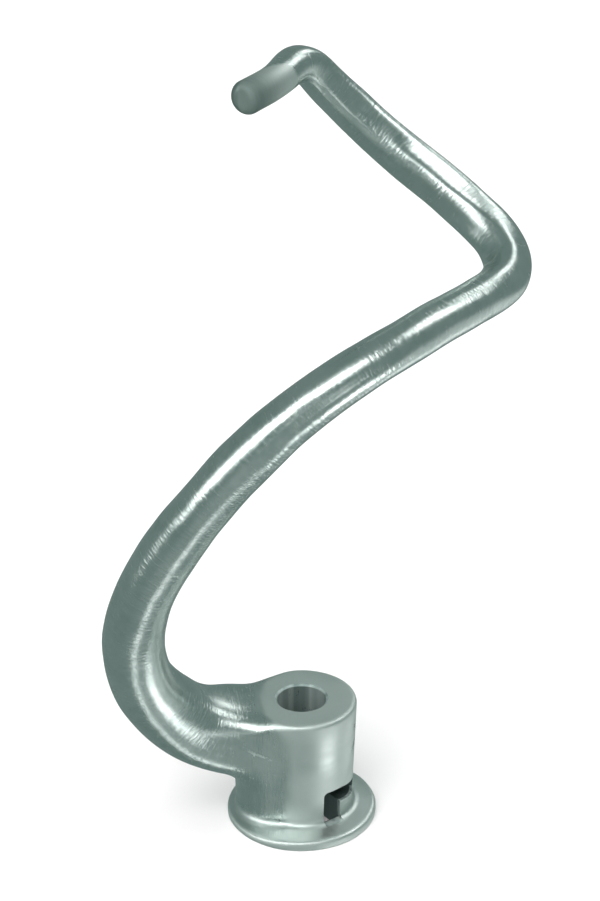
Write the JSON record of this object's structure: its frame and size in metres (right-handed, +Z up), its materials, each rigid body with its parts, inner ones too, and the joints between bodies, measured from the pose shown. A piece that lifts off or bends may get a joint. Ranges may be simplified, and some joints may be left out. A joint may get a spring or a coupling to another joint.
{
  "type": "dough hook",
  "caption": "Spiral dough hook for a planetary stand mixer: tapered hub with shaft bore, bayonet slots and flange, and a round arm that spirals to an inturned tip.",
  "frame": {"origin": "on the shaft bore's axis at the flange's underside, where the mixer shaft and its cross pin enter", "axes": "+Z up the bore toward the hook's tip, as it stands on its flange; the arm leaves the hub toward -X"},
  "size_m": [0.1567, 0.1217, 0.301],
  "materials": {
    "ground_aluminium": "ground and tumbled casting, satin to bright"
  },
  "bodies": {
    "root": {"hook_casting": "ground_aluminium"}
  },
  "joints": []
}
